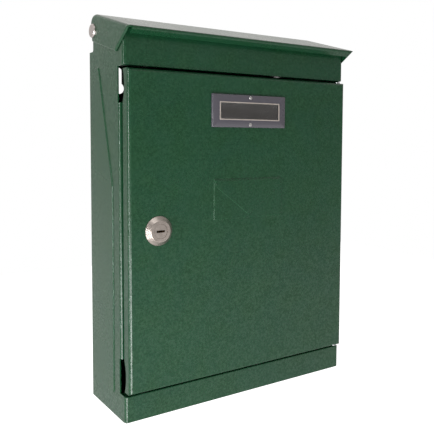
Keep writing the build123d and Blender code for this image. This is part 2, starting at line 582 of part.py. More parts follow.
def lock_wafers():
    """Flat wafers with a key window, one in each slot of the plug."""
    wafers = []
    for y in wafer_places():
        blank = rod_y(PLUG_RADIUS - WAFER_FIT, y, y + WAFER_THICKNESS, LOCK_X, LOCK_Z)
        blank &= block(LOCK_X - PLUG_RADIUS, LOCK_X + PLUG_RADIUS, y, y + WAFER_THICKNESS,
                       LOCK_Z - WAFER_HALF_HEIGHT, LOCK_Z + WAFER_HALF_HEIGHT)
        half = KEYWAY_WIDTH / 2
        window = block(LOCK_X - half, LOCK_X + half, y - SHEET, y + WAFER_THICKNESS + SHEET,
                       LOCK_Z - KEYWAY_HEIGHT / 2, LOCK_Z + KEYWAY_HEIGHT / 2)
        wafers.append(blank - window)
    return wafers


def star_washer():
    """Toothed washer behind the door sheet."""
    y0 = DOOR_Y + SHEET
    ring = rod_y(STAR_WASHER_RADIUS, y0, y0 + STAR_WASHER_THICKNESS, LOCK_X, LOCK_Z)
    ring -= rod_y(BARREL_RADIUS, y0 - SHEET, y0 + 2 * SHEET, LOCK_X, LOCK_Z)
    for tooth in range(STAR_TEETH):
        angle = 2 * math.pi * tooth / STAR_TEETH
        ring -= rod_y(STAR_GAP_RADIUS, y0 - SHEET, y0 + 2 * SHEET,
                      LOCK_X + STAR_WASHER_RADIUS * math.cos(angle),
                      LOCK_Z + STAR_WASHER_RADIUS * math.sin(angle))
    return ring


def lock_nut():
    """Hexagon nut that clamps the housing to the door."""
    y0 = DOOR_Y + SHEET + STAR_WASHER_THICKNESS
    face_plane = Plane(origin=(LOCK_X, y0, LOCK_Z), x_dir=(1, 0, 0), z_dir=(0, 1, 0))
    hexagon = RegularPolygon(LOCK_NUT_FLATS / 2, 6, major_radius=False)
    nut = extrude(face_plane * hexagon, amount=LOCK_NUT_THICKNESS)
    crown = rod_y(LOCK_NUT_FLATS / 2 + SHEET, y0, y0 + LOCK_NUT_THICKNESS, LOCK_X, LOCK_Z)
    crown = chamfer(crown.edges().filter_by(GeomType.CIRCLE), LOCK_NUT_CHAMFER)
    nut &= crown
    return nut - rod_y(BARREL_RADIUS, y0 - SHEET, y0 + LOCK_NUT_THICKNESS + SHEET, LOCK_X, LOCK_Z)


def lock_cam():
    """Locking cam, hanging down while unlocked; a quarter turn puts it behind the frame flange."""
    half = CAM_WIDTH / 2
    square = CAM_SQUARE / 2
    y1 = CAM_FRONT_Y + CAM_THICKNESS
    cam = rod_y(half, CAM_FRONT_Y, y1, LOCK_X, LOCK_Z)
    cam += block(LOCK_X - half, LOCK_X + half, CAM_FRONT_Y, y1, LOCK_Z - CAM_REACH, LOCK_Z)
    cam = fillet(edges_at(cam, Axis.Y, z=LOCK_Z - CAM_REACH), half / 2)
    return cam - block(LOCK_X - square, LOCK_X + square, CAM_FRONT_Y - SHEET, y1 + SHEET,
                       LOCK_Z - square, LOCK_Z + square)


def cam_screw():
    """Pan-head screw that holds the cam on the plug."""
    y0 = CAM_FRONT_Y + CAM_THICKNESS
    head = rod_y(CAM_SCREW_HEAD_RADIUS, y0, y0 + CAM_SCREW_HEAD, LOCK_X, LOCK_Z)
    head = fillet(head.edges().filter_by(GeomType.CIRCLE).sort_by(Axis.Y)[-1], CAM_SCREW_HEAD / 2)
    for turn in (0, 90):
        head -= Pos(LOCK_X, y0 + CAM_SCREW_HEAD, LOCK_Z) * Rot(0, turn, 0) * Box(
            CAM_SCREW_HEAD_RADIUS, CAM_SCREW_HEAD, CAM_SCREW_RECESS)
    return head + rod_y(CAM_SCREW_RADIUS, y0 - CAM_SCREW_LENGTH, y0, LOCK_X, LOCK_Z)


# ---- Name plate ----
def name_plate_cover():
    """Clear cover with bevelled edges, a raised window rim and a card pocket behind."""
    front = DOOR_Y - PLATE_THICKNESS
    z = PLATE_CENTRE_Z
    cover = block(-PLATE_WIDTH / 2, PLATE_WIDTH / 2, front, DOOR_Y,
                  z - PLATE_HEIGHT / 2, z + PLATE_HEIGHT / 2)
    cover = chamfer(cover.faces().sort_by(Axis.Y)[0].edges(), PLATE_BEVEL)
    rim = block(-WINDOW_WIDTH / 2, WINDOW_WIDTH / 2, front - WINDOW_RIM_HEIGHT, front,
                z - WINDOW_HEIGHT / 2, z + WINDOW_HEIGHT / 2)
    rim -= block(-WINDOW_WIDTH / 2 + WINDOW_RIM, WINDOW_WIDTH / 2 - WINDOW_RIM, front - SHEET, front + SHEET,
                 z - WINDOW_HEIGHT / 2 + WINDOW_RIM, z + WINDOW_HEIGHT / 2 - WINDOW_RIM)
    half_x = CARD_WIDTH / 2 + CARD_POCKET_GAP
    half_z = CARD_HEIGHT / 2 + CARD_POCKET_GAP
    cover += rim
    cover -= block(-half_x, half_x, DOOR_Y - CARD_THICKNESS - CARD_POCKET_GAP, DOOR_Y, z - half_z, z + half_z)
    for dz in (-STUD_OFFSET, STUD_OFFSET):
        cover -= rod_y(STUD_RADIUS, front - SHEET, DOOR_Y + SHEET, 0, z + dz)
    return cover


def name_card():
    """Blank name card in the cover's pocket."""
    return block(-CARD_WIDTH / 2, CARD_WIDTH / 2, DOOR_Y - CARD_THICKNESS, DOOR_Y,
                 PLATE_CENTRE_Z - CARD_HEIGHT / 2, PLATE_CENTRE_Z + CARD_HEIGHT / 2)


def name_plate_studs():
    """Two small headed studs through the cover and the door."""
    front = DOOR_Y - PLATE_THICKNESS
    studs = []
    for dz in (-STUD_OFFSET, STUD_OFFSET):
        z = PLATE_CENTRE_Z + dz
        head = rod_y(STUD_HEAD_RADIUS, front - STUD_HEAD_HEIGHT, front, 0, z)
        front_rim = head.edges().filter_by(GeomType.CIRCLE).sort_by(Axis.Y)[0]
        head = fillet(front_rim, STUD_HEAD_HEIGHT * DOME_SHARE)
        studs.append(head + rod_y(STUD_RADIUS, front, DOOR_Y + 3 * SHEET, 0, z))
    return studs


def name_plate_clips():
    """Push-on clips that hold the studs behind the door."""
    y0 = DOOR_Y + SHEET
    clips = []
    for dz in (-STUD_OFFSET, STUD_OFFSET):
        z = PLATE_CENTRE_Z + dz
        clip = rod_y(CLIP_RADIUS, y0, y0 + CLIP_THICKNESS, 0, z)
        clips.append(clip - rod_y(STUD_RADIUS, y0 - SHEET, y0 + SHEET, 0, z))
    return clips


def save(name, shape):
    """Write one node, moved so that the wall screws' centre is the origin."""
    solids = shape if isinstance(shape, list) else [shape]
    place = Pos(0, 0, -SCREW_CENTRE_Z)
    placed = [place * solid for solid in solids]
    node = placed[0] if len(placed) == 1 else Compound(children=placed)
    export_step(node, os.path.join("parts", name + ".step"))


def main():
    """Build and write every piece."""
    os.makedirs("parts", exist_ok=True)
    left = side_panel(FRAME_Y + LOCK_NOTCH_SETBACK)
    right = mirrored(side_panel(FRONT_Y + HINGE_NOTCH_DEPTH))
    hinge_lug, hinge_pin, thrust_washer = hinge_stack()
    save("left_side_panel", left)
    save("right_side_panel", right)
    save("back_panel", back_panel())
    save("bottom_tray", bottom_tray())
    save("upper_front_panel", upper_front_panel())
    save("lid", lid())
    save("lid_rivets", lid_rivets())
    save("lid_spacer_washers", lid_spacers())
    save("lid_backing_washers", backing_washers())
    save("door_panel", door_panel())
    for name, piece in (("hinge_lug", hinge_lug), ("hinge_pin", hinge_pin), ("thrust_washer", thrust_washer)):
        for level, solid in zip(("upper", "lower"), upper_and_lower(piece)):
            save(level + "_" + name, solid)
    save("lock_housing", lock_housing())
    save("lock_plug", lock_plug())
    save("lock_wafers", lock_wafers())
    save("lock_star_washer", star_washer())
    save("lock_nut", lock_nut())
    save("lock_cam", lock_cam())
    save("cam_screw", cam_screw())
    save("name_plate_cover", name_plate_cover())
    save("name_card", name_card())
    save("name_plate_studs", name_plate_studs())
    save("name_plate_clips", name_plate_clips())


main()
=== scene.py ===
import logging
import math
from dataclasses import dataclass, field
from enum import Enum
from typing import Callable, Iterable, Sequence

import bpy
from mathutils import Matrix, Vector


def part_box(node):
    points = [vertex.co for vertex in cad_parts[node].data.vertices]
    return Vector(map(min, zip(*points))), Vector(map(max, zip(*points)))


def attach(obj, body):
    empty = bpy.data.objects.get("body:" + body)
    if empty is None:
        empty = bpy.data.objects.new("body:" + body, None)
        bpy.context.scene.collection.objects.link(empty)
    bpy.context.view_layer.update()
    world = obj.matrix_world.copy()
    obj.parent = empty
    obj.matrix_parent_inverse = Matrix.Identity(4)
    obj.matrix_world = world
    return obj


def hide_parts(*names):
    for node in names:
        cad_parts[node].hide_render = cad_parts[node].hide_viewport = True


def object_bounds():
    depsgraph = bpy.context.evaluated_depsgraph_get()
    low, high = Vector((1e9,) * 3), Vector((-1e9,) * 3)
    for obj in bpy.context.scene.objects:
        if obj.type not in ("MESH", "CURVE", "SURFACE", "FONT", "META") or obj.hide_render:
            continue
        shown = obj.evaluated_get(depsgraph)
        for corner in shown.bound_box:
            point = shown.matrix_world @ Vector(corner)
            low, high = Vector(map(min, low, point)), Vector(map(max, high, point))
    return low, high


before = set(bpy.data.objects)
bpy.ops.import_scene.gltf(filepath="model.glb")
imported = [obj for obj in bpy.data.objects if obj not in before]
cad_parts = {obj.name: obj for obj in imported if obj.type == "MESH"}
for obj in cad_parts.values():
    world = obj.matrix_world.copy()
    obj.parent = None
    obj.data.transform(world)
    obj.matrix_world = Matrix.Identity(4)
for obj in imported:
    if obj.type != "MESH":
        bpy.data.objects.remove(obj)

LOG = logging.getLogger("mailbox")
MM = 0.001
CAD_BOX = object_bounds()

Colour = tuple[float, float, float]
Point = tuple[float, float, float]
Span = tuple[float, float]

WHOLE: Span = (0.0, 1.0)
WHITE: Colour = (1.0, 1.0, 1.0)
SMOOTH_ANGLE = math.radians(35)

PEEL_DETAIL, PEEL_ROUGHNESS, PEEL_SPAN = 3.0, 0.55, (0.3, 0.7)
SWELL_SCALE, SWELL_DETAIL, SWELL_SPAN = 55.0, 2.0, (0.35, 0.65)
RIPPLE_SHARE, SWELL_SHARE = 0.7, 0.3
EDGE_SAMPLES, EDGE_TURN = 4, (1.0, 0.86)
EDGE_NOISE_SCALE, EDGE_NOISE_DETAIL = 160.0, 4.0
EDGE_BREAK_SPAN, EDGE_BREAK_LEVEL = (0.35, 0.6), (0.25, 1.0)
HANDLING_DETAIL, HANDLING_SPAN = 5.0, (0.35, 0.7)
RING_SCALE, RING_DETAIL = 2600.0, 2.0
TARNISH_SCALE, TARNISH_SPAN = 240.0, (0.3, 0.7)


class Shader(Enum):
    """Node types that the finishes use."""

    PRINCIPLED = "ShaderNodeBsdfPrincipled"
    OUTPUT = "ShaderNodeOutputMaterial"
    COORDINATES = "ShaderNodeTexCoord"
    NOISE = "ShaderNodeTexNoise"
    MATH = "ShaderNodeMath"
    VECTOR = "ShaderNodeVectorMath"
    RAMP = "ShaderNodeMapRange"
    MIX = "ShaderNodeMix"
    BUMP = "ShaderNodeBump"
    BEVEL = "ShaderNodeBevel"
    GEOMETRY = "ShaderNodeNewGeometry"
    SPLIT = "ShaderNodeSeparateXYZ"
    GROUP = "ShaderNodeGroup"
    LIGHT_PATH = "ShaderNodeLightPath"
    BACKGROUND = "ShaderNodeBackground"
    MIX_SHADER = "ShaderNodeMixShader"
    WORLD_OUTPUT = "ShaderNodeOutputWorld"


class Socket(Enum):
    """Kinds of group sockets."""

    NUMBER = "NodeSocketFloat"
    VECTOR = "NodeSocketVector"


class NodeSheet:
    """A node tree with short calls to add and join its nodes."""

    def __init__(self, tree: bpy.types.NodeTree) -> None:
        """Wrap a tree.

        Args:
            tree: the node tree to fill.
        """
        self.tree = tree

    def add(self, kind: Shader, **settings: object) -> bpy.types.Node:
        """Add a node.

        Args:
            kind: which node.
            settings: attributes to set on it.

        Returns:
            The new node.
        """
        node = self.tree.nodes.new(kind.value)
        for key, value in settings.items():
            setattr(node, key, value)
        return node

    def join(self, source: bpy.types.NodeSocket, target: bpy.types.NodeSocket) -> None:
        """Link one socket to another."""
        self.tree.links.new(source, target)

    def math(self, operation: str, first: object, second: object = 0.0) -> bpy.types.NodeSocket:
        """Add a math node.

        Args:
            operation: Blender's name of the operation.
            first: a socket or a number.
            second: a socket or a number.

        Returns:
            The node's output.
        """
        node = self.add(Shader.MATH, operation=operation)
        for index, value in enumerate((first, second)):
            if isinstance(value, bpy.types.NodeSocket):
                self.join(value, node.inputs[index])
            else:
                node.inputs[index].default_value = value
        return node.outputs[0]

    def spread(self, value: bpy.types.NodeSocket, source: Span, target: Span = WHOLE) -> bpy.types.NodeSocket:
        """Map a value from one range to another, clamped.

        Args:
            value: the socket to map.
            source: the range that it comes in.
            target: the range that it is mapped to.

        Returns:
            The mapped value.
        """
        node = self.add(Shader.RAMP)
        self.join(value, node.inputs["Value"])
        node.inputs["From Min"].default_value, node.inputs["From Max"].default_value = source
        node.inputs["To Min"].default_value, node.inputs["To Max"].default_value = target
        return node.outputs[0]

    def mix(self, factor: bpy.types.NodeSocket, first: object, second: object) -> bpy.types.NodeSocket:
        """Mix two colours.

        Args:
            factor: the share of the second colour.
            first: a colour or a colour socket.
            second: a colour or a colour socket.

        Returns:
            The mixed colour.
        """
        node = self.add(Shader.MIX, data_type="RGBA")
        colours = [socket for socket in node.inputs if socket.type == "RGBA"]
        self.join(factor, node.inputs[0])
        for socket, value in zip(colours, (first, second)):
            if isinstance(value, bpy.types.NodeSocket):
                self.join(value, socket)
            else:
                socket.default_value = (*value, 1.0)
        return next(socket for socket in node.outputs if socket.type == "RGBA")


class Effect:
    """A shader node group with named inputs and outputs, built once and shared."""

    def __init__(self, name: str, inputs: dict[str, tuple[Socket, object]],
                 outputs: dict[str, Socket],
                 fill: Callable[[NodeSheet, bpy.types.Node, bpy.types.Node], None]) -> None:
        """Build the group.

        Args:
            name: the group's name.
            inputs: each input's kind and default value.
            outputs: each output's kind.
            fill: adds the nodes between the group's input and output nodes.
        """
        self.tree = bpy.data.node_groups.new(name, "ShaderNodeTree")
        for label, (kind, default) in inputs.items():
            socket = self.tree.interface.new_socket(label, in_out="INPUT", socket_type=kind.value)
            socket.default_value = default
        for label, kind in outputs.items():
            self.tree.interface.new_socket(label, in_out="OUTPUT", socket_type=kind.value)
        sheet = NodeSheet(self.tree)
        fill(sheet, self.tree.nodes.new("NodeGroupInput"), self.tree.nodes.new("NodeGroupOutput"))

    def place(self, sheet: NodeSheet, **values: object) -> bpy.types.Node:
        """Place the group in a material.

        Args:
            sheet: the material's nodes.
            values: input values, with spaces in their names written as underscores.

        Returns:
            The group node.
        """
        node = sheet.add(Shader.GROUP, node_tree=self.tree)
        for label, value in values.items():
            node.inputs[label.replace("_", " ")].default_value = value
        return node


def fill_orange_peel(sheet: NodeSheet, given: bpy.types.Node, result: bpy.types.Node) -> None:
    """Fine powder-coat ripple with a few larger swells.

    Args:
        sheet: the group's nodes.
        given: the group's input node.
        result: the group's output node.
    """
    place = sheet.add(Shader.COORDINATES).outputs["Object"]
    fine = sheet.add(Shader.NOISE)
    fine.inputs["Detail"].default_value = PEEL_DETAIL
    fine.inputs["Roughness"].default_value = PEEL_ROUGHNESS
    swell = sheet.add(Shader.NOISE)
    swell.inputs["Scale"].default_value = SWELL_SCALE
    swell.inputs["Detail"].default_value = SWELL_DETAIL
    for noise in (fine, swell):
        sheet.join(place, noise.inputs["Vector"])
    sheet.join(given.outputs["Scale"], fine.inputs["Scale"])
    ripple = sheet.math("MULTIPLY", fine.outputs[0], RIPPLE_SHARE)
    height = sheet.math("ADD", ripple, sheet.math("MULTIPLY", swell.outputs[0], SWELL_SHARE))
    sheet.join(height, result.inputs["Height"])
    sheet.join(sheet.spread(fine.outputs[0], PEEL_SPAN), result.inputs["Grain"])
    sheet.join(sheet.spread(swell.outputs[0], SWELL_SPAN), result.inputs["Swell"])


def fill_edge_wear_and_sheen(sheet: NodeSheet, given: bpy.types.Node, result: bpy.types.Node) -> None:
    """Mask that is high where a surface turns over an edge, broken up by noise; it lightens edges, which on
    the powder coat and the smoked plastic is a painted highlight.

    Args:
        sheet: the group's nodes.
        given: the group's input node.
        result: the group's output node.
    """
    bevel = sheet.add(Shader.BEVEL, samples=EDGE_SAMPLES)
    sheet.join(given.outputs["Radius"], bevel.inputs["Radius"])
    geometry = sheet.add(Shader.GEOMETRY)
    turn = sheet.add(Shader.VECTOR, operation="DOT_PRODUCT")
    sheet.join(bevel.outputs["Normal"], turn.inputs[0])
    sheet.join(geometry.outputs["Normal"], turn.inputs[1])
    noise = sheet.add(Shader.NOISE)
    noise.inputs["Scale"].default_value = EDGE_NOISE_SCALE
    noise.inputs["Detail"].default_value = EDGE_NOISE_DETAIL
    sheet.join(sheet.add(Shader.COORDINATES).outputs["Object"], noise.inputs["Vector"])
    edge = sheet.spread(turn.outputs["Value"], EDGE_TURN)
    broken = sheet.spread(noise.outputs[0], EDGE_BREAK_SPAN, EDGE_BREAK_LEVEL)
    sheet.join(sheet.math("MULTIPLY", edge, broken), result.inputs["Mask"])


def fill_handling(sheet: NodeSheet, given: bpy.types.Node, result: bpy.types.Node) -> None:
    """Broad cloudy mask for dust and handling.

    Args:
        sheet: the group's nodes.
        given: the group's input node.
        result: the group's output node.
    """
    place = sheet.add(Shader.COORDINATES).outputs["Object"]
    clouds = sheet.add(Shader.NOISE)
    clouds.inputs["Detail"].default_value = HANDLING_DETAIL
    sheet.join(given.outputs["Scale"], clouds.inputs["Scale"])
    sheet.join(place, clouds.inputs["Vector"])
    sheet.join(sheet.spread(clouds.outputs[0], HANDLING_SPAN), result.inputs["Mask"])


def fill_turned(sheet: NodeSheet, given: bpy.types.Node, result: bpy.types.Node) -> None:
    """Fine rings round a centre, as a lathe or a polishing wheel leaves them.

    Args:
        sheet: the group's nodes.
        given: the group's input node.
        result: the group's output node.
    """
    place = sheet.add(Shader.COORDINATES).outputs["Object"]
    arm = sheet.add(Shader.VECTOR, operation="SUBTRACT")
    sheet.join(place, arm.inputs[0])
    sheet.join(given.outputs["Centre"], arm.inputs[1])
    flat = sheet.add(Shader.VECTOR, operation="MULTIPLY")
    sheet.join(arm.outputs[0], flat.inputs[0])
    sheet.join(given.outputs["Plane"], flat.inputs[1])
    radius = sheet.add(Shader.VECTOR, operation="LENGTH")
    sheet.join(flat.outputs[0], radius.inputs[0])
    rings = sheet.add(Shader.NOISE, noise_dimensions="1D")
    rings.inputs["Scale"].default_value = RING_SCALE
    rings.inputs["Detail"].default_value = RING_DETAIL
    sheet.join(radius.outputs["Value"], rings.inputs["W"])
    clouds = sheet.add(Shader.NOISE)
    clouds.inputs["Scale"].default_value = TARNISH_SCALE
    sheet.join(place, clouds.inputs["Vector"])
    sheet.join(rings.outputs[0], result.inputs["Height"])
    sheet.join(sheet.spread(clouds.outputs[0], TARNISH_SPAN), result.inputs["Tone"])


@dataclass
class Effects:
    """The shared effects of every finish."""

    peel: Effect = field(init=False)
    wear_and_sheen: Effect = field(init=False)
    handling: Effect = field(init=False)
    turned: Effect = field(init=False)

    def __post_init__(self) -> None:
        """Build the groups once."""
        self.peel = Effect("orange_peel", {"Scale": (Socket.NUMBER, 900.0)},
                           {"Height": Socket.NUMBER, "Grain": Socket.NUMBER, "Swell": Socket.NUMBER},
                           fill_orange_peel)
        self.wear_and_sheen = Effect("edge_wear_and_sheen", {"Radius": (Socket.NUMBER, 0.0006)}, {"Mask": Socket.NUMBER},
                           fill_edge_wear_and_sheen)
        self.handling = Effect("handling", {"Scale": (Socket.NUMBER, 14.0)}, {"Mask": Socket.NUMBER},
                               fill_handling)
        self.turned = Effect("turned_metal",
                             {"Centre": (Socket.VECTOR, (0.0, 0.0, 0.0)),
                              "Plane": (Socket.VECTOR, (1.0, 0.0, 1.0))},
                             {"Height": Socket.NUMBER, "Tone": Socket.NUMBER}, fill_turned)


@dataclass(frozen=True)
class Finish:
    """Base of the finishes: a named Principled material."""

    name: str
    colour: Colour
    roughness: float = 0.4
    metallic: float = 0.0

    def start(self) -> tuple[bpy.types.Material, NodeSheet, bpy.types.Node]:
        """Make the empty material.

        Returns:
            The material, its nodes and its Principled shader.
        """
        material = bpy.data.materials.new(self.name)
        material.use_nodes = True
        material.node_tree.nodes.clear()
        sheet = NodeSheet(material.node_tree)
        shader = sheet.add(Shader.PRINCIPLED)
        sheet.join(shader.outputs[0], sheet.add(Shader.OUTPUT).inputs["Surface"])
        shader.inputs["Base Color"].default_value = (*self.colour, 1.0)
        shader.inputs["Roughness"].default_value = self.roughness
        shader.inputs["Metallic"].default_value = self.metallic
        return material, sheet, shader

    def tone(self, share: float) -> Colour:
        """The finish's colour, lighter or darker by a factor."""
        return tuple(channel * share for channel in self.colour)


def bump(sheet: NodeSheet, shader: bpy.types.Node, height: bpy.types.NodeSocket, strength: float,
         distance: float) -> None:
    """Feed a height into a shader's normal.

    Args:
        sheet: the material's nodes.
        shader: the Principled shader.
        height: the height socket.
        strength: how strongly it shows.
        distance: the height of a full step, in metres.
    """
    node = sheet.add(Shader.BUMP)
    node.inputs["Strength"].default_value = strength
    node.inputs["Distance"].default_value = distance
    sheet.join(height, node.inputs["Height"])
    sheet.join(node.outputs[0], shader.inputs["Normal"])


@dataclass(frozen=True)
class PowderCoat(Finish):
    """Satin powder coat with orange peel, dust in broad clouds, glossier edges and a painted highlight that
    lightens the colour along edges and bends.
    """

    colour: Colour = (0.006, 0.042, 0.0155)
    roughness: float = 0.24
    peel_scale: float = 620.0
    peel_strength: float = 0.6
    peel_height: float = 0.3 * MM
    grain_tones: Span = (0.8, 1.2)
    cool_share: float = 0.35
    cool_blue: float = 1.6
    cloud_scale: float = 14.0
    cloud_share: float = 0.22
    cloud_tone: float = 1.35
    cloud_roughness: float = 0.08
    edge_radius: float = 0.7 * MM
    edge_share: float = 0.4
    edge_tone: float = 2.1
    edge_polish: float = 0.08
    coat_grain: Span = (0.25, 0.85)
    coat_weight: Span = (0.15, 0.6)
    coat_roughness: float = 0.22
    specular: float = 0.28

    def build(self, effects: Effects) -> bpy.types.Material:
        """Build the material from the shared effects.

        Args:
            effects: the shared effects.

        Returns:
            The new material.
        """
        material, sheet, shader = self.start()
        peel = effects.peel.place(sheet, Scale=self.peel_scale)
        wear_and_sheen = effects.wear_and_sheen.place(sheet, Radius=self.edge_radius)
        cloud = effects.handling.place(sheet, Scale=self.cloud_scale)
        dark, light = self.grain_tones
        grained = sheet.mix(peel.outputs["Grain"], self.tone(dark), self.tone(light))
        hue = sheet.math("MULTIPLY", peel.outputs["Swell"], self.cool_share)
        red, green, blue = self.colour
        cooled = sheet.mix(hue, grained, (red, green, blue * self.cool_blue))
        clouding = sheet.math("MULTIPLY", cloud.outputs["Mask"], self.cloud_share)
        clouded = sheet.mix(clouding, cooled, self.tone(self.cloud_tone))
        # Painted highlight: the base colour is lightened by edge_tone along edges and bends.
        edge_lightening = sheet.math("MULTIPLY", wear_and_sheen.outputs["Mask"], self.edge_share)
        sheet.join(sheet.mix(edge_lightening, clouded, self.tone(self.edge_tone)), shader.inputs["Base Color"])
        rough = sheet.math("MULTIPLY", cloud.outputs["Mask"], self.cloud_roughness)
        rough = sheet.math("ADD", rough, self.roughness)
        polish = sheet.math("MULTIPLY", wear_and_sheen.outputs["Mask"], self.edge_polish)
        sheet.join(sheet.math("SUBTRACT", rough, polish), shader.inputs["Roughness"])
        glossy = sheet.spread(peel.outputs["Grain"], self.coat_grain, self.coat_weight)
        sheet.join(glossy, shader.inputs["Coat Weight"])
        shader.inputs["Coat Roughness"].default_value = self.coat_roughness
        shader.inputs["Specular IOR Level"].default_value = self.specular
        bump(sheet, shader, peel.outputs["Height"], self.peel_strength, self.peel_height)
        return material


@dataclass(frozen=True)
class TurnedMetal(Finish):
    """Plated metal with turned rings round a centre."""

    centre: Point = (0.0, 0.0, 0.0)
    plane: Point = (1.0, 0.0, 1.0)
    metallic: float = 1.0
    ring_strength: float = 0.12
    ring_height: float = 0.03 * MM
    tarnish_tones: Span = (0.88, 1.08)
    tarnish_roughness: float = 0.12
    edge_radius: float = 0.3 * MM
    edge_tone: float = 1.2

    def build(self, effects: Effects) -> bpy.types.Material:
        """Build the material from the shared effects.

        Args:
            effects: the shared effects.

        Returns:
            The new material.
        """
        material, sheet, shader = self.start()
        rings = effects.turned.place(sheet, Centre=self.centre, Plane=self.plane)
        wear_and_sheen = effects.wear_and_sheen.place(sheet, Radius=self.edge_radius)
        dark, light = self.tarnish_tones
        tarnished = sheet.mix(rings.outputs["Tone"], self.tone(dark), self.tone(light))
        edged = sheet.mix(wear_and_sheen.outputs["Mask"], tarnished, self.tone(self.edge_tone))
        sheet.join(edged, shader.inputs["Base Color"])
        rough = sheet.math("MULTIPLY", rings.outputs["Tone"], self.tarnish_roughness)
        sheet.join(sheet.math("ADD", rough, self.roughness), shader.inputs["Roughness"])
        bump(sheet, shader, rings.outputs["Height"], self.ring_strength, self.ring_height)
        return material


@dataclass(frozen=True)
class PlainStock(Finish):
    """Moulded or stamped small part: grain, slight clouding and edges lightened by edge_tone; on the smoked
    plastic that lightening is a painted highlight.
    """

    grain_scale: float = 1400.0
    grain_tones: Span = (0.9, 1.1)
    grain_strength: float = 0.2
    grain_height: float = 0.05 * MM
    cloud_scale: float = 60.0
    cloud_roughness: float = 0.14
    edge_radius: float = 0.25 * MM
    edge_share: float = 0.5
    edge_tone: float = 1.4
    coat: float = 0.0
    subsurface: float = 0.0

    def build(self, effects: Effects) -> bpy.types.Material:
        """Build the material from the shared effects.

        Args:
            effects: the shared effects.

        Returns:
            The new material.
        """
        material, sheet, shader = self.start()
        peel = effects.peel.place(sheet, Scale=self.grain_scale)
        cloud = effects.handling.place(sheet, Scale=self.cloud_scale)
        wear_and_sheen = effects.wear_and_sheen.place(sheet, Radius=self.edge_radius)
        dark, light = self.grain_tones
        grained = sheet.mix(peel.outputs["Grain"], self.tone(dark), self.tone(light))
        # Edges lightened by edge_tone; for the smoked plastic this is a painted highlight on its bevels.
        edge_lightening = sheet.math("MULTIPLY", wear_and_sheen.outputs["Mask"], self.edge_share)
        edged = sheet.mix(edge_lightening, grained, self.tone(self.edge_tone))
        sheet.join(edged, shader.inputs["Base Color"])
        rough = sheet.math("MULTIPLY", cloud.outputs["Mask"], self.cloud_roughness)
        sheet.join(sheet.math("ADD", rough, self.roughness), shader.inputs["Roughness"])
        shader.inputs["Coat Weight"].default_value = self.coat
        shader.inputs["Subsurface Weight"].default_value = self.subsurface
        bump(sheet, shader, peel.outputs["Height"], self.grain_strength, self.grain_height)
        return material


@dataclass(frozen=True)
class ClearPane(Finish):
    """Clear moulded plastic with faint scuffs."""

    scuff_scale: float = 90.0
    scuff_roughness: float = 0.08
    refraction: float = 1.49

    def build(self, effects: Effects) -> bpy.types.Material:
        """Build the material from the shared effects.

        Args:
            effects: the shared effects.

        Returns:
            The new material.
        """
        material, sheet, shader = self.start()
        scuffs = effects.handling.place(sheet, Scale=self.scuff_scale)
        rough = sheet.math("MULTIPLY", scuffs.outputs["Mask"], self.scuff_roughness)
        sheet.join(sheet.math("ADD", rough, self.roughness), shader.inputs["Roughness"])
        shader.inputs["Transmission Weight"].default_value = 1.0
        shader.inputs["IOR"].default_value = self.refraction
        return material


def ring_points(half_x: float, half_z: float, radius: float, steps: int = 5) -> list[tuple[float, float]]:
    """Points round a rectangle with rounded corners.

    Args:
        half_x: half its width.
        half_z: half its height.
        radius: corner radius.
        steps: pieces in each corner's quarter turn.

    Returns:
        The (x, z) points, anticlockwise from the right side.
    """
    points = []
    corners = ((1, 1), (-1, 1), (-1, -1), (1, -1))
    for quarter, (sign_x, sign_z) in enumerate(corners):
        for step in range(steps + 1):
            angle = math.pi / 2 * (quarter + step / steps)
            points.append((sign_x * (half_x - radius) + radius * math.cos(angle),
                           sign_z * (half_z - radius) + radius * math.sin(angle)))
    return points


def tube_mesh(name: str, rings: Sequence[Sequence[Point]], closed: bool,
              capped: bool = False) -> bpy.types.Object:
    """Mesh object from rings of points, each joined to the next.

    Args:
        name: the object's name.
        rings: the rings, all with the same number of points.
        closed: whether the last ring joins the first.
        capped: whether the first and last rings are filled.

    Returns:
        The new object, linked to the scene.
    """
    count = len(rings[0])
    points = [point for ring in rings for point in ring]
    faces: list[tuple[int, ...]] = []
    for row in range(len(rings) if closed else len(rings) - 1):
        after = (row + 1) % len(rings)
        for index in range(count):
            step = (index + 1) % count
            faces.append((row * count + index, row * count + step,
                          after * count + step, after * count + index))
    if capped:
        faces.append(tuple(reversed(range(count))))
        faces.append(tuple(range((len(rings) - 1) * count, len(rings) * count)))
    mesh = bpy.data.meshes.new(name)
    mesh.from_pydata(points, [], faces)
    mesh.validate()
    piece = bpy.data.objects.new(name, mesh)
    bpy.context.scene.collection.objects.link(piece)
    return piece


def dress(piece: bpy.types.Object, material: bpy.types.Material) -> None:
    """Give a new piece its material, and smooth shading except over sharp edges.

    Args:
        piece: the mesh object.
        material: its finish.
    """
    piece.data.materials.clear()
    piece.data.materials.append(material)
    bpy.context.view_layer.objects.active = piece
    piece.select_set(True)
    bpy.ops.object.shade_smooth_by_angle(angle=SMOOTH_ANGLE)
    piece.select_set(False)


@dataclass
class SubAssembly:
    """Base of the sub-assemblies: paints carried-over nodes and reports pieces."""

    materials: dict[str, bpy.types.Material]

    def paint(self, finish: str, nodes: Iterable[str]) -> None:
        """Assign a finish to carried-over nodes.

        Args:
            finish: key of the material.
            nodes: the nodes' names.
        """
        for name in nodes:
            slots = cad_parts[name].data.materials
            slots.clear()
            slots.append(self.materials[finish])
            LOG.info("%s wears %s", name, finish)

    def fit(self, piece: bpy.types.Object, body: str, slot: str, finish: str) -> None:
        """Dress a new piece and let it ride on a body.

        Args:
            piece: the new piece.
            body: the body that it rides on.
            slot: not used.
            finish: key of the material.
        """
        dress(piece, self.materials[finish])
        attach(piece, body)
        LOG.info("%s rides on %s", piece.name, body)


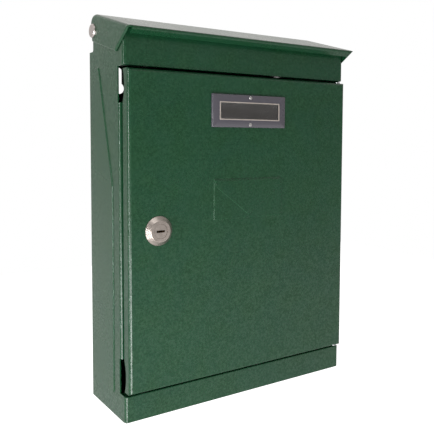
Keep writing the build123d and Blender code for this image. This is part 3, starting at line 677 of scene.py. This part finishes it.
@dataclass
class Cabinet(SubAssembly):
    """Sheet-steel body with its laps, rivets and hinge hardware."""

    def build(self) -> None:
        """Dress the cabinet's nodes."""
        self.paint("body_green", ("left_side_panel", "right_side_panel", "back_panel", "bottom_tray",
                                  "upper_front_panel", "upper_hinge_lug", "lower_hinge_lug"))
        self.paint("rivet_nickel", ("lid_rivets",))
        self.paint("zinc", ("upper_hinge_pin", "lower_hinge_pin", "lid_backing_washers"))
        self.paint("nylon", ("lid_spacer_washers", "upper_thrust_washer", "lower_thrust_washer"))


@dataclass
class Roof(SubAssembly):
    """Sloping lid."""

    def build(self) -> None:
        """Dress the lid."""
        self.paint("lid_green", ("lid",))


@dataclass
class NamePlate(SubAssembly):
    """Name plate: smoked frame, clear window and a rim whose pale colour is a painted highlight, over the
    card.
    """

    window_width: float = 59.0 * MM
    window_height: float = 14.2 * MM
    corner: float = 0.5 * MM
    bevel: float = 0.9 * MM
    bevel_inset: float = 0.35
    bevel_drop: float = 0.3
    rim_width: float = 0.8 * MM
    rim_rise: float = 0.35 * MM
    rim_outer_drop: float = 0.1 * MM
    rim_inner_drop: float = 0.15 * MM
    rim_crest: float = 0.3
    pane_gap: float = 0.05 * MM
    pane_chamfer_depth: float = 0.15 * MM
    pane_chamfer_width: float = 0.2 * MM

    def band(self, name: str, middle: Vector, profile: Sequence[Point]) -> bpy.types.Object:
        """Closed band round the plate.

        Args:
            name: the piece's name.
            middle: the plate's centre; profile depths are measured from it.
            profile: (half width, half height, y) of each ring.

        Returns:
            The new piece.
        """
        rings = [[(middle.x + x, y, middle.z + z) for x, z in ring_points(half_x, half_z, self.corner)]
                 for half_x, half_z, y in profile]
        return tube_mesh(name, rings, closed=True)

    def build(self) -> None:
        """Build the frame, the window and the rim, and dress the card and studs."""
        low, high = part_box("name_plate_cover")
        card_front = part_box("name_card")[0].y
        middle = (low + high) / 2
        half_x, half_z = (high.x - low.x) / 2, (high.z - low.z) / 2
        rim_face, back = low.y, high.y
        front = rim_face + self.rim_rise
        inner_x, inner_z = self.window_width / 2, self.window_height / 2
        pane_x, pane_z = inner_x - self.rim_width, inner_z - self.rim_width
        eased, crest = self.bevel * self.bevel_inset, self.rim_width * self.rim_crest
        shell = self.band("name_plate_frame", middle, [
            (half_x, half_z, back), (half_x, half_z, front + self.bevel),
            (half_x - eased, half_z - eased, front + self.bevel * self.bevel_drop),
            (half_x - self.bevel, half_z - self.bevel, front),
            (inner_x, inner_z, front), (inner_x, inner_z, card_front), (inner_x, inner_z, back)])
        self.fit(shell, "door", "clear_plastic", "smoked_plastic")
        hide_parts("name_plate_cover")
        # The window rim is clear plastic; its pale colour is a painted highlight of the light its edge
        # catches.
        rim = self.band("name_plate_window_rim", middle, [
            (inner_x, inner_z, front + self.rim_width), (inner_x, inner_z, rim_face + self.rim_outer_drop),
            (inner_x - crest, inner_z - crest, rim_face),
            (pane_x, pane_z, rim_face + self.rim_inner_drop), (pane_x, pane_z, front + self.rim_width)])
        self.fit(rim, "door", "clear_plastic", "rim_painted_highlight")
        layers = ((card_front - self.pane_gap, 0.0), (front + self.pane_chamfer_depth, 0.0),
                  (front, self.pane_chamfer_width))
        pane_rings = [[(middle.x + x, y, middle.z + z)
                       for x, z in ring_points(pane_x - inset, pane_z - inset, self.corner)]
                      for y, inset in layers]
        pane = tube_mesh("name_plate_window", pane_rings, closed=False, capped=True)
        self.fit(pane, "door", "clear_plastic", "clear_plastic")
        self.paint("card", ("name_card",))
        self.paint("stud_metal", ("name_plate_studs",))
        self.paint("zinc", ("name_plate_clips",))


@dataclass
class Lock(SubAssembly):
    """Cam lock: plated housing and plug, with zinc-plated fixings behind the door."""

    barrel_radius: float = 8.0 * MM
    barrel_flat: float = 7.0 * MM
    thread_pitch: float = 1.0 * MM
    thread_depth: float = 0.35 * MM
    thread_steps: int = 48
    root_sink: float = 0.4 * MM
    root_half: float = 0.45
    crest_half: float = 0.08
    flat_rise: float = 0.2
    fade_turns: float = 0.5
    least_depth: float = 0.05

    def thread(self) -> bpy.types.Object:
        """Helical thread crest round the barrel behind the nut.

        Returns:
            The new piece.
        """
        nut_low, nut_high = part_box("lock_nut")
        centre = (nut_low + nut_high) / 2
        start = nut_high.y + self.thread_pitch
        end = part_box("lock_housing")[1].y - self.thread_pitch
        count = int((end - start) / self.thread_pitch * self.thread_steps)
        root = self.barrel_radius - self.root_sink
        flat = self.barrel_flat + self.thread_depth * self.flat_rise
        rings = []
        for step in range(count + 1):
            turn, left = step / self.thread_steps, (count - step) / self.thread_steps
            angle = 2 * math.pi * turn
            y = start + self.thread_pitch * turn
            fade = min(1.0, turn / self.fade_turns, left / self.fade_turns)
            crest = self.barrel_radius + self.thread_depth * max(fade, self.least_depth)
            ring = []
            for reach, shift in ((root, -self.root_half), (root, self.root_half),
                                 (crest, self.crest_half), (crest, -self.crest_half)):
                trimmed = min(reach, flat / max(abs(math.cos(angle)), 1e-6))
                ring.append((centre.x + trimmed * math.cos(angle), y + shift * self.thread_pitch,
                             centre.z + trimmed * math.sin(angle)))
            rings.append(ring)
        return tube_mesh("lock_barrel_thread", rings, closed=False, capped=True)

    def build(self) -> None:
        """Dress the lock and add the barrel's thread."""
        self.paint("lock_nickel", ("lock_housing", "lock_plug"))
        self.paint("brass", ("lock_wafers",))
        self.paint("zinc", ("lock_star_washer", "lock_nut", "lock_cam", "cam_screw"))
        self.fit(self.thread(), "door", "nickel", "lock_nickel")


@dataclass
class Door(SubAssembly):
    """Door pan with the pressed envelope."""

    def build(self) -> None:
        """Dress the door."""
        self.paint("door_green", ("door_panel",))


def build_materials(effects: Effects) -> dict[str, bpy.types.Material]:
    """Build every finish.

    Args:
        effects: the shared effects.

    Returns:
        The materials by name.
    """
    lock_centre, rivet_centre = (tuple((low + high) / 2)
                                 for low, high in map(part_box, ("lock_plug", "lid_rivets")))
    finishes = [PowderCoat(name) for name in ("body_green", "door_green", "lid_green")] + [
        TurnedMetal("lock_nickel", (0.50, 0.44, 0.40), roughness=0.26, centre=lock_centre),
        TurnedMetal("rivet_nickel", (0.60, 0.54, 0.52), roughness=0.3, centre=rivet_centre,
                    plane=(0.0, 1.0, 1.0)),
        PlainStock("zinc", (0.58, 0.59, 0.61), roughness=0.3, metallic=1.0),
        PlainStock("stud_metal", (0.62, 0.60, 0.60), roughness=0.25, metallic=1.0,
                   grain_height=0.02 * MM),
        PlainStock("brass", (0.68, 0.50, 0.22), roughness=0.3, metallic=1.0, grain_height=0.04 * MM),
        PlainStock("nylon", (0.72, 0.70, 0.64), roughness=0.45, subsurface=0.15),
        PlainStock("card", (0.045, 0.038, 0.033), roughness=0.6, grain_scale=700.0,
                   grain_height=0.06 * MM),
        # smoked_plastic: edge_tone 9.0 is a painted highlight, the bright light that its bevelled edges
        # catch.
        PlainStock("smoked_plastic", (0.062, 0.058, 0.071), roughness=0.16, coat=0.5,
                   grain_height=0.02 * MM, edge_tone=9.0),
        # Pale rim colour: a painted highlight on the window's clear edge.
        PlainStock("rim_painted_highlight", (0.33, 0.29, 0.26), roughness=0.3, coat=0.2, grain_height=0.02 * MM),
        ClearPane("clear_plastic", (0.92, 0.92, 0.94), roughness=0.04),
    ]
    return {finish.name: finish.build(effects) for finish in finishes}


@dataclass
class Softbox:
    """A large area light that points at the mailbox."""

    name: str
    place: Point
    width: float
    height: float
    power: float

    def build(self, target: Vector) -> None:
        """Make the light.

        Args:
            target: the point that it is aimed at.
        """
        lamp = bpy.data.lights.new(self.name, "AREA")
        lamp.shape = "RECTANGLE"
        lamp.size, lamp.size_y = self.width, self.height
        lamp.energy = self.power
        holder = bpy.data.objects.new(self.name, lamp)
        holder.location = Vector(self.place)
        holder.visible_camera = False
        holder.rotation_euler = (target - holder.location).to_track_quat("-Z", "Y").to_euler()
        bpy.context.scene.collection.objects.link(holder)


@dataclass
class Studio:
    """Pale floor, bright surroundings, soft lights and the camera.

    A pair of spans gives the range that a value comes in and the range that it is mapped to.
    """

    camera_place: Point = (-287.95 * MM, -462.51 * MM, 68.46 * MM)
    yaw: float = 33.16
    pitch: float = 3.62
    roll: float = 0.17
    focal_length: float = 49.93
    sensor_width: float = 36.0
    frame_shift: float = -0.0853
    near_clip: float = 10.0 * MM
    floor_half: float = 3.0
    floor_drop: float = 0.55
    floor_tone: float = 0.5
    floor_roughness: float = 0.9
    floor_left: tuple[Span, Span] = ((-0.7, 0.5), (0.42, 0.1))
    floor_front: tuple[Span, Span] = ((-0.1, -0.9), (0.1, 0.55))
    sky_colour: Colour = (1.0, 0.985, 0.96)
    sky_behind: tuple[Span, Span] = ((-0.6, 0.5), (0.35, 1.0))
    sky_high: Span = (0.08, 0.4)
    sky_low: Span = (0.0, -0.35)
    sky_level: tuple[Span, Span] = ((0.0, 0.8), (0.33, 0.53))
    sky_lift: float = 0.42
    lights: list[Softbox] = field(default_factory=lambda: [
        Softbox("low_left_softbox", (-0.31, -0.43, -0.21), 0.30, 0.24, 2.7),
        Softbox("left_strip", (-1.45, -0.38, -0.08), 0.12, 0.72, 10.5),
        Softbox("top_box", (-0.2, -0.9, 1.5), 1.2, 0.8, 4.0),
    ])

    def world(self) -> None:
        """Bright surroundings that fall off towards the front right."""
        world = bpy.data.worlds.new("studio")
        world.use_nodes = True
        bpy.context.scene.world = world
        tree = world.node_tree
        tree.nodes.clear()
        sheet = NodeSheet(tree)
        split = sheet.add(Shader.SPLIT)
        sheet.join(sheet.add(Shader.COORDINATES).outputs["Generated"], split.inputs[0])
        behind = sheet.spread(split.outputs["Y"], *self.sky_behind)
        high = sheet.spread(split.outputs["Z"], self.sky_high)
        low = sheet.spread(split.outputs["Z"], self.sky_low)
        lifted = sheet.math("MAXIMUM", sheet.math("MULTIPLY", high, behind), low)
        level = sheet.spread(split.outputs["Y"], *self.sky_level)
        glow, white = sheet.add(Shader.BACKGROUND), sheet.add(Shader.BACKGROUND)
        glow.inputs["Color"].default_value = (*self.sky_colour, 1.0)
        lift = sheet.math("MULTIPLY", lifted, self.sky_lift)
        sheet.join(sheet.math("ADD", lift, level), glow.inputs["Strength"])
        white.inputs["Color"].default_value = (*WHITE, 1.0)
        choose = sheet.add(Shader.MIX_SHADER)
        sheet.join(sheet.add(Shader.LIGHT_PATH).outputs["Is Camera Ray"], choose.inputs[0])
        sheet.join(glow.outputs[0], choose.inputs[1])
        sheet.join(white.outputs[0], choose.inputs[2])
        sheet.join(choose.outputs[0], sheet.add(Shader.WORLD_OUTPUT).inputs["Surface"])

    def floor(self) -> None:
        """Pale matt floor far below the wall-hung box."""
        half, z = self.floor_half, CAD_BOX[0].z - self.floor_drop
        mesh = bpy.data.meshes.new("floor")
        corners = [(-half, -half, z), (half, -half, z), (half, half, z), (-half, half, z)]
        mesh.from_pydata(corners, [], [(0, 1, 2, 3)])
        plane = bpy.data.objects.new("floor", mesh)
        bpy.context.scene.collection.objects.link(plane)
        paint = Finish("floor_paint", (self.floor_tone,) * 3, roughness=self.floor_roughness)
        material, sheet, shader = paint.start()
        split = sheet.add(Shader.SPLIT)
        sheet.join(sheet.add(Shader.COORDINATES).outputs["Object"], split.inputs[0])
        glow = sheet.math("MAXIMUM", sheet.spread(split.outputs["X"], *self.floor_left),
                          sheet.spread(split.outputs["Y"], *self.floor_front))
        seen = sheet.add(Shader.LIGHT_PATH).outputs["Is Camera Ray"]
        sheet.join(sheet.math("MAXIMUM", glow, seen), shader.inputs["Emission Strength"])
        shader.inputs["Emission Color"].default_value = (*WHITE, 1.0)
        mesh.materials.append(material)

    def camera(self) -> None:
        """Camera at the left, just above the middle of the box."""
        data = bpy.data.cameras.new("camera")
        data.lens = self.focal_length
        data.sensor_width = self.sensor_width
        data.shift_y = self.frame_shift
        data.clip_start = self.near_clip
        holder = bpy.data.objects.new("camera", data)
        yaw, pitch = math.radians(self.yaw), math.radians(self.pitch)
        ahead = Vector((math.sin(yaw) * math.cos(pitch), math.cos(yaw) * math.cos(pitch),
                        -math.sin(pitch)))
        turn = Matrix.Rotation(math.radians(self.roll), 4, -ahead)
        holder.matrix_world = (Matrix.Translation(Vector(self.camera_place)) @ turn
                               @ ahead.to_track_quat("-Z", "Y").to_matrix().to_4x4())
        bpy.context.scene.collection.objects.link(holder)
        bpy.context.scene.camera = holder

    def build(self) -> None:
        """Set up the whole studio."""
        self.world()
        self.floor()
        self.camera()
        target = (CAD_BOX[0] + CAD_BOX[1]) / 2
        for light in self.lights:
            light.build(target)
        bpy.context.scene.view_settings.view_transform = "Standard"


def main() -> None:
    logging.basicConfig(level=logging.INFO, format="%(name)s: %(message)s")
    materials = build_materials(Effects())
    for part in (Cabinet(materials), Roof(materials), Door(materials), NamePlate(materials), Lock(materials)):
        part.build()
    Studio().build()


if __name__ == "__main__":
    main()
